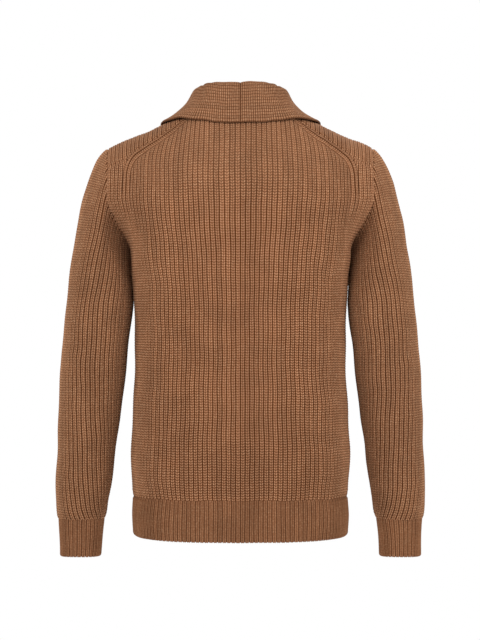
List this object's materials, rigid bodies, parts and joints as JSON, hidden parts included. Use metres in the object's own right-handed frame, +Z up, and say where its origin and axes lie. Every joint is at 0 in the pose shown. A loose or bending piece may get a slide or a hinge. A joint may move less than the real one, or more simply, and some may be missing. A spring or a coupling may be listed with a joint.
{
  "type": "cardigan",
  "caption": "Long-sleeved shawl collar cardigan in chunky ribbed knit, buttoned, filled out and hollow, open at neck, hem and wrists.",
  "frame": {"origin": "middle of the neck, level with the high shoulder points, where the wearer's shoulders carry the garment", "axes": "+Z up, the fronts face -Y, the wearer's left is +X"},
  "size_m": [0.584, 0.2574, 0.7391],
  "materials": {
    "body_knit": "chunky ribbed wool knit, matt",
    "rib_knit": "fine ribbed wool knit, matt",
    "collar_knit": "close double wool knit, matt",
    "button": "dark brown, satin"
  },
  "bodies": {
    "root": {"back": "body_knit", "front_left": "body_knit", "front_right": "body_knit", "sleeve_left": "body_knit", "sleeve_right": "body_knit", "cuff_left": "rib_knit", "cuff_right": "rib_knit", "hem_back": "rib_knit", "hem_left": "rib_knit", "hem_right": "rib_knit", "collar_left": "collar_knit", "collar_right": "collar_knit", "button_1": "button", "button_2": "button", "button_3": "button", "button_4": "button", "button_5": "button"}
  },
  "joints": []
}
